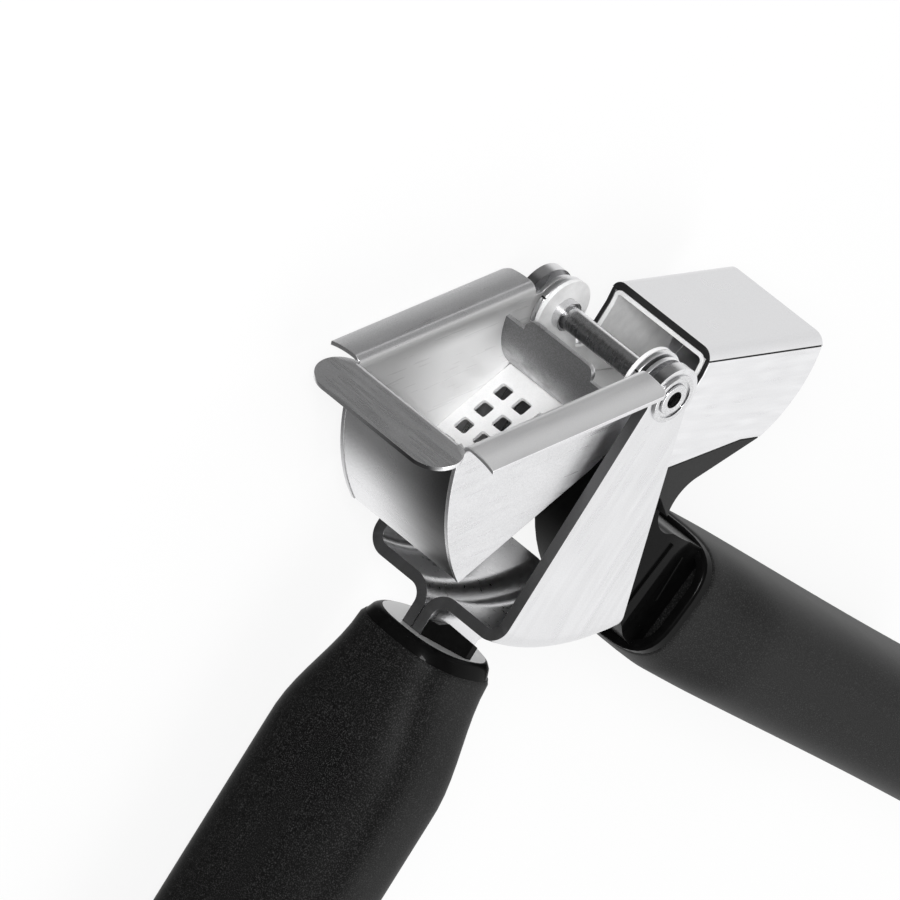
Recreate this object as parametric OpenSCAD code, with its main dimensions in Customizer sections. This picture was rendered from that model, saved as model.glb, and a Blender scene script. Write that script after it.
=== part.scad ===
// Garlic press with a swing-out hopper, drawn lying on its side and held open.
// The hinge axis is Z and the origin is its middle. The lower handle runs along +X.
// Angles are in the XY plane. "Opening side" is -Y of a body's own frame, "outlet side" is +Y.

/* [Hinge] */
// Bore of the tubular rivet, diameter
rivet_bore_d = 3.2; // [2.4:0.1:3.4]
// Outer diameter of the rivet's tube
rivet_d = 4.2; // [4.1:0.1:4.6]
// Radius of the rivet's rolled lips
rivet_lip_r = 2.9; // [2.7:0.1:3.2]
// Height of the rolled lips
rivet_lip_h = 0.45; // [0.3:0.05:0.6]
// Radius of the washers under the lips
washer_r = 4.6; // [4.3:0.1:5.2]
// Thickness of the washers
washer_t = 0.55; // [0.5:0.05:0.9]
// Radial clearance between the rivet and what turns on it
running_fit = 0.06; // [0.03:0.01:0.09]
// Radius of the frame's hinge ears
frame_ear_r = 5.8; // [5.5:0.1:6]
// Radius of the hopper's hinge ears
hopper_ear_r = 5.6; // [5.2:0.1:5.8]
// Radius of the plunger's hinge ears
plunger_ear_r = 6.1; // [5.6:0.1:6.4]
// Length of the bush flange that shows on the rivet
bush_flange_l = 1.5; // [1:0.1:2.5]

/* [Frame] */
// Thickness of the frame's bent strap
frame_sheet = 2.05; // [1.6:0.05:2.4]
// Gap between the hopper's walls and the frame's side plates
frame_gap = 1.2; // [0.5:0.05:1.4]
// Gap between the hopper's front wall and the frame's front wall
front_gap = 2; // [0.5:0.05:2.2]
// Height of the rim above the hinge axis
rim_height = 5; // [4.6:0.1:5.2]
// Direction of the outlet edge of the side plates, degrees
outlet_angle = 26.4; // [22:0.2:28]
// Distance from the hinge axis to the outlet edge
outlet_offset = 4.5; // [3.5:0.1:5]
// Inner bend radius at the frame's two corners
corner_r = 1.9; // [1:0.1:3]
// Radius of the bends that lead the strap into the shank
shank_bend_r = 2.5; // [1.5:0.1:3]
// Gap between the two halves of the shank
strap_seam = 0.2; // [0.1:0.05:0.4]
// Depth of the shank where it enters the handle
shank_depth = 17.5; // [14:0.5:18]
// Depth of the tang inside the lower handle
tang_depth = 11; // [8:0.5:12]
// Length of the tang inside the lower handle
tang_l = 62; // [40:1:80]

/* [Hopper] */
// Thickness of the hopper's sheet
hopper_sheet = 0.8; // [0.5:0.05:1]
// Radius of the front wall's inner face about the hinge
hopper_front_r = 46.5; // [44:0.5:50]
// Radius of the back wall's hollow face about the hinge
hopper_back_r = 12.1; // [11.8:0.1:12.8]
// Height of the sieve's inner face below the hinge axis
sieve_drop = 5; // [4.5:0.1:6]
// Angle between the sieve and the flanges
flange_angle = 25.5; // [20:0.5:28]
// Bend radius where the side walls roll out into the flanges
flange_bend_r = 2; // [1.4:0.1:2.4]
// Width of the flanges beyond the bend
flange_w = 5.4; // [4:0.1:6.5]
// Fall of the flange from its crest to its free edge
flange_fall = 0.85; // [0.5:0.05:1.2]
// Radius of the rounded back corner of each flange
flange_end_r = 1.5; // [1:0.1:4.5]
// Gap between the frame's rim and the flanges when the hopper is swung in
rim_gap = 0.3; // [0.25:0.05:0.6]
// Reach of the thumb tab beyond the front wall
tab_reach = 10.2; // [8:0.2:10.6]
// Half width of the thumb tab
tab_half_w = 16; // [14:0.5:18]
// Height of the middle of the back wall above the hinge axis, along the flanges
back_wall_h = 4.5; // [3.8:0.1:4.9]
// Depth of the two notches in the back wall
back_notch = 2.1; // [1.8:0.1:3]
// Half width of the back wall between the notches
back_mid_w = 8.1; // [7:0.1:8.8]

/* [Sieve] */
// Side of each square hole
hole_w = 2.7; // [1.8:0.1:3.2]
// Corner radius of the holes
hole_r = 0.5; // [0.2:0.05:0.8]
// Distance between neighbouring holes
hole_pitch = 4.5; // [4:0.1:4.8]
// Rows of holes along the sieve
hole_rows = 7; // [3:1:7]
// Holes in each row
hole_cols = 5; // [3:1:5]
// Distance from the hinge axis to the first row
first_row = 15.9; // [15:0.1:17]

/* [Plunger] */
// Half width of the plunger
plunger_half_w = 11.9; // [10.5:0.1:13]
// Gap between the plunger's sides and the hopper's walls
plunger_gap = 0.5; // [0.35:0.05:0.8]
// Thickness of the plunger's side sheet
plunger_sheet = 1; // [0.7:0.05:1.2]
// Thickness of the plunger's liner
liner_sheet = 0.75; // [0.5:0.05:0.9]
// Thickness of the pressing face
face_t = 1.4; // [1:0.1:1.8]
// Radius of the pressing face's long edges
face_edge_r = 2.2; // [1.6:0.1:2.6]
// Gap left between the pressing face and the sieve
press_gap = 0.4; // [0.3:0.05:0.8]
// Radius of the plunger's rounded end
plunger_end_r = 20.3; // [19:0.1:21.5]
// Gap between the plunger's end and the hopper's front wall
plunger_end_gap = 2.7; // [1.2:0.1:3.2]
// Gap between the plunger's mouth and the hopper's back wall
mouth_gap = 0.55; // [0.4:0.05:1.5]

/* [Handles] */
// Distance from the hinge to the lower collar's end face
lower_start = 57.4; // [57:0.2:60]
// Distance from the hinge to the upper collar's end face
upper_start = 52.8; // [52:0.2:56]
// Length of the glossy collar band
collar_l = 2.5; // [1.5:0.1:4]
// Distance from the hinge to the handles' tips
handle_reach = 184; // [165:1:200]
// Largest half width of the grips
grip_half_w = 16.4; // [15:0.1:18]
// Half width of the lower grip at its front
lower_front_w = 11.5; // [11:0.1:13]
// Half width of the upper grip at its front
upper_front_w = 13.4; // [12.8:0.1:14.5]
// Half depth of the lower grip
lower_half_d = 11.9; // [11:0.1:13]
// Half depth of the upper grip at its front
upper_half_d = 11.9; // [11.7:0.1:13]
// Distance from the lower handle's axis to the hinge axis, towards the outlet side
lower_axis = 2.3; // [1.5:0.1:3]
// Distance from the upper handle's axis to the hinge axis, away from the pressing side
upper_axis = 31.4; // [30:0.1:34]
// Angle between the pressing face and the upper handle, degrees
upper_angle = 23.6; // [22:0.2:27]
// Swell of the upper grip behind its collar, on the side away from the plunger
grip_swell = 1.2; // [0:0.1:1.6]
// Step between the grips and the bands of the collars
grip_step = 0.3; // [0.1:0.05:0.5]
// Clearance between the cores and the grips' bores
grip_fit = 0.1; // [0.05:0.05:0.2]
// Radius of the concave throat between the plunger and the upper handle
throat_r = 6.9; // [5:0.1:8]
// Thickness of the tang inside the upper handle
upper_tang_t = 3; // [2:0.1:4]
// Width of the tang inside the upper handle
upper_tang_w = 6; // [4:0.1:6.4]
// Gap between the upper handle's neck and the plunger's liner
neck_gap = 0.1; // [0.05:0.05:0.4]

/* [Pose] */
// Direction of the sieve when the hopper is swung out, degrees
hopper_rest = -34.4; // [-36:0.2:-28]
// Direction of the pressing face when the press is held open, degrees
plunger_rest = 105; // [98:0.5:112]

/* [Hidden] */
$fn = 96;
fit_gap = 0.05;
// half widths, from the middle plane outwards
liner_out = plunger_half_w - plunger_sheet - fit_gap;
liner_in = liner_out - liner_sheet;
neck_half_w = liner_in - neck_gap;
plunger_in = plunger_half_w - plunger_sheet;
hopper_in = plunger_half_w + plunger_gap;
hopper_out = hopper_in + hopper_sheet;
frame_in = hopper_out + frame_gap;
frame_out = frame_in + frame_sheet;
// radii about the hinge axis
hopper_front_out = hopper_front_r + hopper_sheet;
hopper_edge_r = hopper_front_out + 0.15;
frame_front_r = hopper_front_out + front_gap;
frame_front_out = frame_front_r + frame_sheet;
// heights of the flange above the hinge axis
flange_under = rim_height + rim_gap;
flange_top = flange_under + hopper_sheet;
flange_start = 5.3;
flange_end = hopper_front_r - 0.5;
flange_arch_r = (flange_w * flange_w + flange_fall * flange_fall) / (2 * flange_fall);
bend_h = flange_top - flange_bend_r;
bend_z = hopper_in + flange_bend_r;
// plunger
face_y = sieve_drop - press_gap;
skirt_l = 1.8;
mouth_r = hopper_back_r + mouth_gap;
mouth_low = 3.7;
plunger_tip = hopper_front_r - plunger_end_gap;
end_c = plunger_tip - plunger_end_r;
seam_y = face_y - skirt_l;
mouth_x = sqrt(mouth_r * mouth_r - mouth_low * mouth_low);
// the arms pass over the notches of the hopper's back wall
arm_gap = 0.4;
notch_h = back_wall_h - back_notch;
arm_low = -sqrt(pow(hopper_back_r, 2) - pow(notch_h, 2)) * sin(flange_angle)
    - notch_h * cos(flange_angle) - arm_gap;
arm_in = sqrt(pow(hopper_back_r - hopper_sheet - mouth_gap, 2) - arm_low * arm_low);
bush_r = rivet_d / 2 + running_fit + 0.6;
snug = 0.02;
// longer than any part, for cutting shapes
beyond = 100;
// handles
bar_wall = 1.6;
upper_bar_w = upper_front_w - bar_wall;
upper_bar_d = upper_half_d - bar_wall - 0.4;
lower_bar_w = lower_front_w - bar_wall - 0.2;
lower_bar_d = lower_half_d - bar_wall - 0.6;
solid_tip_l = 26;
lower_grip_start = lower_start + collar_l;
shank_end = lower_grip_start - 0.2;
bar_end = handle_reach - solid_tip_l;
upper_thinning = 0.9;

// ---- Frames of the moving bodies -------------------------------------------------

module in_hopper() { rotate([0, 0, hopper_rest]) children(); }
module in_plunger() { rotate([0, 0, plunger_rest]) children(); }
module in_upper_handle() { in_plunger() rotate([0, 0, -upper_angle]) children(); }
// the flanges' own frame: X along them, -Y up from the hinge axis
module in_flange() { in_hopper() rotate([0, 0, -flange_angle]) children(); }
module far_side() { mirror([0, 0, 1]) children(); }
// draws a profile of (width, height) as a bar along the flanges
module along_flange(from, to) {
    translate([from, 0, 0]) rotate([180, -90, 0]) linear_extrude(to - from) children();
}

// ---- Helpers ---------------------------------------------------------------------

module ring(outer, inner) {
    difference() {
        circle(outer);
        circle(inner);
    }
}

module tube(outer, inner, h) { linear_extrude(h) ring(outer, inner); }

// a rectangle with rounded corners, given by half sizes
module rounded_box(a, b, r) {
    square([2 * a, 2 * (b - r)], center = true);
    square([2 * (a - r), 2 * b], center = true);
    for (i = [-1, 1], j = [-1, 1]) translate([i * (a - r), j * (b - r)]) circle(r);
}

// one cross-section of a handle: a superellipse in the plane at distance u along X
ring_n = 40;
function signed_power(v, p) = sign(v) * pow(abs(v), p);
function section(u, half_w, half_d, centre, squareness) =
    [for (i = [0 : ring_n - 1])
        let (a = 360 * (i + 0.5) / ring_n)
        [u, centre + half_d * signed_power(sin(a), 2 / squareness),
         half_w * signed_power(cos(a), 2 / squareness)]];

// a closed skin over a list of cross-sections
module loft(sections) {
    n = len(sections);
    points = [for (s = sections) each s];
    sides = [for (j = [0 : n - 2], i = [0 : ring_n - 1])
        let (k = (i + 1) % ring_n, a = j * ring_n + i, b = j * ring_n + k)
        each [[a, b, a + ring_n], [b, b + ring_n, a + ring_n]]];
    polyhedron(points, concat([[for (i = [ring_n - 1 : -1 : 0]) i]],
                              [[for (i = [0 : ring_n - 1]) (n - 1) * ring_n + i]], sides));
}

function smooth(t) = let (c = min(1, max(0, t))) c * c * (3 - 2 * c);
// how square the handles' sections are: 2 is an ellipse, and a rectangle lies beyond 10
lower_squareness = 2.5;
lower_grip_squareness = 2.7;
collar_squareness = 3.4;
upper_grip_squareness = 3.2;
// the rounding of a handle's tip: 1 along the handle, falling to 0 at its end
tip_l = 13;
function tip(u) = u < handle_reach - tip_l ? 1 :
    sqrt(max(0.01, 1 - pow((u - handle_reach + tip_l) / tip_l, 2)));

// ---- Frame -----------------------------------------------------------------------

// outline of the side plates' wedge, from the rim to the outlet edge
module wedge(reach) {
    away = [cos(outlet_angle), sin(outlet_angle)];
    side = [-sin(outlet_angle), cos(outlet_angle)];
    polygon([[0, -rim_height], [reach, -rim_height], reach * away + outlet_offset * side,
             outlet_offset * side]);
}

// the strap's section from the hinge to the shank, as (radius, height)
module strap_profile() {
    top = frame_in - corner_r;
    low = strap_seam / 2 + frame_sheet + shank_bend_r;
    bend_out = shank_bend_r + frame_sheet;
    translate([0, frame_in]) square([frame_front_r - corner_r, frame_sheet]);
    translate([frame_front_r, low]) square([frame_sheet, top - low]);
    translate([frame_front_r - corner_r, top]) intersection() {
        ring(corner_r + frame_sheet, corner_r);
        square(corner_r + frame_sheet + 1);
    }
    translate([frame_front_out + shank_bend_r, low]) intersection() {
        ring(bend_out, shank_bend_r);
        translate([-bend_out - 1, -bend_out - 1]) square(bend_out + 1);
    }
}

module cradle_half() {
    bend_end = frame_front_out + shank_bend_r;
    shank_low = shank_depth - rim_height;
    // side plate with its hinge ear, corner, front wall and the bend into the shank
    intersection() {
        rotate_extrude($fn = 180) strap_profile();
        translate([0, 0, -1]) linear_extrude(frame_out + 2) difference() {
            union() {
                circle(frame_ear_r);
                wedge(2 * bend_end);
            }
            circle(rivet_d / 2 + snug);
        }
    }
    // shank, narrowing into the tang
    translate([0, 0, strap_seam / 2]) linear_extrude(frame_sheet) {
        difference() {
            polygon([[bend_end - 6, -rim_height], [shank_end, -rim_height],
                     [shank_end, shank_low], [lower_start - 1, shank_low],
                     [bend_end - 3, shank_low + 7], [bend_end - 6, shank_low + 8]]);
            circle(bend_end - 0.01);
        }
        translate([lower_start, lower_axis - tang_depth / 2]) square([tang_l, tang_depth]);
    }
}

module cradle_near_half() { color("gainsboro") cradle_half(); }
module cradle_far_half() { color("gainsboro") far_side() cradle_half(); }

// ---- Lower handle ----------------------------------------------------------------

function lower_w(u) = (lower_front_w + (grip_half_w - lower_front_w)
    * smooth((u - lower_grip_start) / 24)) * tip(u);
function lower_d(u) = (lower_half_d - 0.5 * (1 - smooth((u - lower_grip_start) / 20))) * tip(u);

// distances along a grip at which its sections are drawn
function grip_steps(start) = concat([for (i = [0 : 6]) start + 4 * i], [start + 36, start + 56, start + 80],
    [for (i = [0 : 7]) handle_reach - tip_l * (1 - sin(i * 90 / 7))]);

module lower_handle_core() {
    front_d = lower_half_d - 0.5;
    boss_top = frame_sheet + strap_seam / 2 + grip_fit + 6.2;
    boss_l = 4.6;
    boss_y = 4.8;
    boss_end = 3;
    boss_back = lower_start - boss_l - 0.2;
    pocket_half_w = frame_sheet + strap_seam / 2 + grip_fit;
    pocket_l = 9;
    color("#141414") difference() {
        union() {
            // collar band: distance from the band's start, and how far it is cut back in width and depth
            loft([for (lip = [[0, 2.3, 1.6], [0.25, 1.7, 1.1], [0.9, 1, 0.6],
                              [lower_grip_start - lower_start, grip_step, grip_step]])
                section(lower_start + lip[0], lower_front_w - lip[1], front_d - lip[2], lower_axis,
                        lower_squareness)]);
            // bar inside the grip
            translate([lower_grip_start - 0.5, lower_axis, 0]) rotate([90, 0, 90])
                linear_extrude(bar_end - lower_grip_start + 0.5) rotate(90)
                    rounded_box(lower_bar_w, lower_bar_d, 5);
            // boss beside the shank's near side, sloping down to the opening side
            // and clear of the strap's bend
            intersection() {
                linear_extrude(boss_top)
                    polygon([[lower_start - boss_l, -boss_y], [lower_start + 0.5, -boss_y],
                             [lower_start + 0.5, boss_end], [lower_start - boss_l + 2.2, boss_end]]);
                translate([0, boss_end + 1, 0]) rotate([90, 0, 0]) linear_extrude(boss_y + boss_end + 2)
                    polygon([[lower_start - 3, -1], [lower_start - 3, 3.6], [boss_back, 5.4],
                             [boss_back, boss_top + 1], [lower_start + 1, boss_top + 1],
                             [lower_start + 1, -1]]);
                translate([lower_start - 5, 0, 0]) rotate([90, 0, 90]) linear_extrude(10)
                    polygon([[-boss_y - 1, -1], [-boss_y - 1, 1.3], [boss_end + 1, boss_y + boss_end + 3.3],
                             [boss_end + 1, -1]]);
            }
        }
        // pocket for the shank and the tang
        translate([0, 0, -pocket_half_w])
            linear_extrude(2 * pocket_half_w) {
                translate([lower_start - pocket_l, -rim_height - grip_fit])
                    square([shank_end - lower_start + pocket_l + grip_fit, shank_depth + 2 * grip_fit]);
                translate([lower_start, lower_axis - tang_depth / 2 - grip_fit])
                    square([tang_l + grip_fit, tang_depth + 2 * grip_fit]);
            }
    }
}

module lower_handle_grip() {
    color("#202020") difference() {
        loft([for (u = grip_steps(lower_grip_start + fit_gap))
            section(u, lower_w(u), lower_d(u), lower_axis, lower_grip_squareness)]);
        translate([lower_grip_start - 1, lower_axis, 0]) rotate([90, 0, 90])
            linear_extrude(bar_end - lower_grip_start + 1 + grip_fit) rotate(90)
                rounded_box(lower_bar_w + grip_fit, lower_bar_d + grip_fit, 5 + grip_fit);
    }
}

// ---- Hopper ----------------------------------------------------------------------

// outline of a side and its flange, as seen along the hinge
module hopper_side_outline() {
    low = sieve_drop + hopper_sheet;
    top = bend_h * [-sin(flange_angle), -cos(flange_angle)];
    circle(hopper_ear_r);
    intersection() {
        circle(hopper_edge_r);
        polygon([top, top + hopper_front_out * 2 * [cos(flange_angle), -sin(flange_angle)],
                 [hopper_front_out * 2, low], [first_row + 0.6, low], [first_row - 5, hopper_ear_r - 0.8],
                 [0, hopper_ear_r]]);
    }
    rotate(-flange_angle) translate([flange_start, -2 * flange_top])
        square([flange_end - flange_start, 2 * flange_top - bend_h + 1]);
}

// section of a side wall rolled out into its flange, as (width, height)
module hopper_side_profile() {
    drop = hopper_front_out;
    translate([hopper_in, -drop]) square([hopper_sheet, drop + bend_h]);
    translate([bend_z, bend_h]) intersection() {
        ring(flange_bend_r, flange_bend_r - hopper_sheet);
        translate([-flange_bend_r - 1, 0]) square(flange_bend_r + 1);
    }
    translate([bend_z, flange_top - flange_arch_r]) intersection() {
        ring(flange_arch_r, flange_arch_r - hopper_sheet, $fn = 360);
        translate([0, flange_arch_r / 2]) square([flange_w, flange_arch_r]);
    }
}

// what is cut away to round a flange's back corner, as (distance along it, width)
module flange_corner() {
    edge_z = bend_z + flange_w;
    difference() {
        translate([flange_start - 1, edge_z - flange_end_r]) square(flange_end_r + 1);
        translate([flange_start + flange_end_r - snug, edge_z - flange_end_r + snug]) circle(flange_end_r);
    }
}

module hopper_side() {
    difference() {
        intersection() {
            in_flange() {
                // flat behind the flange, rolled out along it
                along_flange(-2 * hopper_ear_r, flange_start - 0.1)
                    translate([hopper_in, -hopper_front_out]) square([hopper_sheet, 2 * hopper_front_out]);
                along_flange(flange_start - 0.2, hopper_front_out + 1) hopper_side_profile();
            }
            in_hopper() linear_extrude(bend_z + flange_w + 1) hopper_side_outline();
        }
        linear_extrude(hopper_out + 1) circle(rivet_d / 2 + running_fit);
        in_flange() rotate([90, 0, 0]) linear_extrude(2 * flange_top) flange_corner();
    }
}

module hopper_near_side() { color("silver") hopper_side(); }
module hopper_far_side() { color("silver") far_side() hopper_side(); }

module hopper_front_wall() {
    half = hopper_in - fit_gap;
    bend_out = hopper_sheet + 0.6;
    bend_u = sqrt(pow(hopper_front_r, 2) - pow(flange_top - bend_out, 2)) + bend_out;
    tab_r = tab_reach / 2;
    tab_c = bend_u - bend_out + tab_r;
    color("silver") {
        // curved wall between the side walls
        intersection() {
            translate([0, 0, -half]) tube(hopper_front_out, hopper_front_r, 2 * half, $fn = 180);
            in_hopper() translate([0, 0, -half]) linear_extrude(2 * half) intersection() {
                translate([0, -100]) square([100, 100 + sieve_drop + hopper_sheet]);
                rotate(-flange_angle) translate([0, bend_out - flange_top]) square(100);
            }
        }
        in_flange() {
            // bend at the top of the wall
            translate([bend_u, bend_out - flange_top, -half]) linear_extrude(2 * half) intersection() {
                ring(bend_out, bend_out - hopper_sheet);
                translate([-bend_out - 1, -bend_out - 1]) square(bend_out + 1);
            }
            // thumb tab
            translate([0, hopper_sheet - flange_top, 0]) rotate([90, 0, 0]) linear_extrude(hopper_sheet)
                difference() {
                    union() {
                        for (s = [-1, 1]) translate([tab_c, s * (tab_half_w - tab_r)]) circle(tab_r);
                        translate([tab_c - tab_r, tab_r - tab_half_w])
                            square([tab_reach, 2 * (tab_half_w - tab_r)]);
                    }
                    translate([bend_u - bend_out - 1, -half]) square([bend_out + 1, 2 * half]);
                }
        }
    }
}

// the back wall's raised middle and its two notches, as (width, height)
module back_wall_face() {
    r = 1.6;
    half = hopper_in - fit_gap;
    low = back_wall_h - back_notch;
    translate([-half, -30]) square([2 * half, 30 + low]);
    translate([-back_mid_w, low - 1]) square([2 * back_mid_w, back_notch - r + 1]);
    translate([r - back_mid_w, low]) square([2 * (back_mid_w - r), back_notch]);
    for (s = [-1, 1]) translate([s * (back_mid_w - r), back_wall_h - r]) circle(r);
}

module hopper_back_wall() {
    color("silver") intersection() {
        translate([0, 0, -hopper_in]) tube(hopper_back_r, hopper_back_r - hopper_sheet, 2 * hopper_in);
        in_flange() along_flange(0, 2 * hopper_back_r) back_wall_face();
        in_hopper() translate([0, -50, -50]) cube([50, 50 + sieve_drop + hopper_sheet, 100]);
    }
}

module sieve_plate() {
    half = hopper_in - fit_gap;
    color("whitesmoke") intersection() {
        in_hopper() translate([0, sieve_drop + hopper_sheet, 0]) rotate([90, 0, 0])
            linear_extrude(hopper_sheet) difference() {
                translate([0, -half]) square([hopper_front_r, 2 * half]);
                for (i = [0 : hole_rows - 1], j = [0 : hole_cols - 1])
                    translate([first_row + i * hole_pitch, (j - (hole_cols - 1) / 2) * hole_pitch])
                        rounded_box(hole_w / 2, hole_w / 2, hole_r);
            }
        translate([0, 0, -hopper_in]) tube(hopper_front_r - fit_gap, hopper_back_r + fit_gap, 2 * hopper_in);
    }
}

// ---- Plunger ---------------------------------------------------------------------

// where the sheet of the plunger's sides stops and the cover begins
skirt_low = -14.9;
skirt_bend = 31.9;
function skirt_y(x) = skirt_low - max(0, skirt_bend - x) * 0.215;

// outline of the plunger's sides up to a height, as seen along the hinge
module plunger_outline(top) {
    arm_x = 8;
    mouth_from = asin(-mouth_low / mouth_r);
    mouth_turn = asin(arm_low / mouth_r) - mouth_from;
    mouth_edge = [for (i = [0 : 5]) let (a = mouth_from + mouth_turn * i / 5) mouth_r * [cos(a), sin(a)]];
    circle(plunger_ear_r);
    difference() {
        union() {
            intersection() {
                translate([end_c, 0]) circle(plunger_end_r);
                translate([end_c, -beyond]) square([beyond, beyond + top]);
            }
            polygon(concat([[end_c + 0.1, top], [mouth_x + 1.2, top], [mouth_x + 1, 0]], mouth_edge,
                           [[arm_in, arm_low], plunger_ear_r * [0.85, -0.5], [0, plunger_ear_r - 0.1],
                            plunger_ear_r * [-0.8, -0.6], [arm_x, -17.5], [arm_x + 3, skirt_y(arm_x + 3)],
                            [end_c + 0.1, skirt_y(end_c)]]));
        }
        translate([0, -beyond]) polygon([[0, 0], [0, beyond + skirt_y(0)], [skirt_bend, beyond + skirt_low],
                                         [beyond, beyond + skirt_low], [beyond, 0]]);
    }
}

// section across the pressing face and its rolled edges, as (height, width)
module face_section(top, half_w, edge_r, low) {
    intersection() {
        union() {
            translate([low - 1, -half_w]) square([top - edge_r - low + 1, 2 * half_w]);
            translate([low - 1, edge_r - half_w]) square([top - low + 1, 2 * (half_w - edge_r)]);
            for (s = [-1, 1]) translate([top - edge_r, s * (half_w - edge_r)]) circle(edge_r);
        }
        translate([low, -half_w - 1]) square([top - low + 1, 2 * half_w + 2]);
    }
}

module along_plunger(to) { rotate([90, 0, 90]) linear_extrude(to) children(); }

module plunger_face() {
    color("gainsboro") in_plunger() intersection() {
        along_plunger(plunger_tip + 1) difference() {
            face_section(face_y, plunger_half_w, face_edge_r, seam_y);
            face_section(face_y - face_t, plunger_in, face_edge_r - plunger_sheet + 0.2, seam_y - 1);
        }
        translate([0, 0, -plunger_half_w - 1]) linear_extrude(2 * plunger_half_w + 2) intersection() {
            union() {
                translate([end_c, 0]) circle(plunger_end_r);
                square([end_c, 2 * face_y]);
            }
            polygon([[mouth_x + 1.2, face_y + 1], [mouth_x + 1.1, 0], [beyond, 0], [beyond, face_y + 1]]);
        }
    }
}

module plunger_shell() {
    color("silver") in_plunger() {
        for (s = [0, 1]) mirror([0, 0, s]) translate([0, 0, plunger_in]) linear_extrude(plunger_sheet)
            difference() {
                plunger_outline(seam_y - 2 * fit_gap);
                circle(bush_r + snug);
            }
        translate([0, 0, -plunger_in]) linear_extrude(2 * plunger_in) difference() {
            intersection() {
                translate([end_c, 0]) ring(plunger_end_r, plunger_end_r - plunger_sheet);
                translate([end_c, -beyond]) square([beyond, beyond + seam_y - 2 * fit_gap]);
            }
            translate([0, -beyond]) square([beyond, beyond + skirt_low]);
        }
    }
}

module plunger_liner() {
    edge = face_edge_r - plunger_sheet + 0.15;
    top = face_y - face_t - fit_gap;
    front = end_c + 10.5;
    color("darkgray") in_plunger() {
        for (s = [0, 1]) mirror([0, 0, s]) translate([0, 0, liner_in]) linear_extrude(liner_sheet)
            difference() {
                intersection() {
                    plunger_outline(top - edge);
                    translate([-beyond, -beyond]) square([beyond + front, 2 * beyond]);
                }
                circle(bush_r + snug);
            }
        intersection() {
            along_plunger(front) difference() {
                face_section(top, liner_out, edge, top - edge);
                face_section(top - liner_sheet, liner_in, edge - liner_sheet + 0.1, top - edge - 1);
            }
            translate([mouth_x + 1.05, 0, -beyond]) cube([beyond, beyond, 2 * beyond]);
        }
    }
}

// ---- Cover, neck and upper handle ------------------------------------------------

cover_wall = 1.2;
throat_c = [plunger_tip - 16.2, -27.8];
throat_tilt = 118;
cover_back = 11;
cover_front = end_c + 14.5;
plug_front = end_c + 11.8;
plug_top = skirt_low + 1.6;
// a point of the plunger's frame, from its distance along the upper handle and its depth
function at_handle(u, d) =
    [u * cos(upper_angle) - d * sin(upper_angle), -u * sin(upper_angle) - d * cos(upper_angle)];
function bezier(p, n) = [for (i = [0 : n]) let (t = i / n, s = 1 - t)
    s * s * s * p[0] + 3 * s * s * t * p[1] + 3 * s * t * t * p[2] + t * t * t * p[3]];

// the open throat between the plunger and the handle, grown by a margin
module throat(margin) {
    r = throat_r + margin;
    out = [cos(throat_tilt), sin(throat_tilt)];
    along = [sin(throat_tilt), -cos(throat_tilt)];
    translate(throat_c) {
        circle(r);
        polygon([[0, 0], (r - snug) * out, (r - snug) * out + 25 * along, [25, -4]]);
    }
}

// the cover's outline before the throat is cut, its lower end moved down by a gap
module cover_zone(gap) {
    polygon([[cover_front, skirt_low - 2 * fit_gap], [skirt_bend, skirt_low - 2 * fit_gap],
             [cover_back, skirt_y(cover_back) - 2 * fit_gap], [cover_back, skirt_y(cover_back) - 2.4 - gap],
             throat_c + [-10.8, 2.6 - gap], throat_c + [-6.4, -1.8 - gap], throat_c]);
}

module plunger_cover() {
    color("#3c3c3c") in_plunger() difference() {
        translate([0, 0, -plunger_half_w]) linear_extrude(2 * plunger_half_w) difference() {
            cover_zone(0);
            throat(0);
        }
        translate([0, 0, -neck_half_w - grip_fit]) linear_extrude(2 * (neck_half_w + grip_fit))
            difference() {
                translate([-beyond, -beyond]) square([2 * beyond, beyond]);
                throat(cover_wall);
            }
    }
}

// centre line of the steel tang from the plunger's root into the handle
tang_x = throat_c[0] - throat_r - cover_wall - upper_tang_w / 2 - 0.6;
tang_path = [[tang_x + 1.3, -17.5], [tang_x, -28.5], at_handle(44, upper_axis), at_handle(112, upper_axis)];

// outline of a mitred band along a line of points
function heading(p, i) = let (d = p[min(i + 1, len(p) - 1)] - p[min(i, len(p) - 2)]) d / norm(d);
function band_side(p, off) = [for (i = [0 : len(p) - 1])
    let (a = heading(p, max(i - 1, 0)), b = heading(p, i), m = (a + b) / 2)
    p[i] + off * [-m[1], m[0]] / (m * m)];
function reversed(p) = [for (i = [len(p) - 1 : -1 : 0]) p[i]];
module band(points, width) {
    polygon(concat(band_side(points, width / 2), reversed(band_side(points, -width / 2))));
}

module upper_handle_tang() {
    color("darkgray") in_plunger() translate([0, 0, -upper_tang_t / 2]) linear_extrude(upper_tang_t)
        band(tang_path, upper_tang_w);
}

upper_grip_start = upper_start + collar_l;
function upper_w(u) = (upper_front_w + (grip_half_w - upper_front_w)
    * smooth((u - upper_grip_start) / 26)) * tip(u);
function upper_d(u) = (upper_half_d - upper_thinning * smooth((u - upper_grip_start) / 100)) * tip(u);

function upper_swell(u) = grip_swell / 2 * smooth((u - upper_grip_start) / 9);

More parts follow.
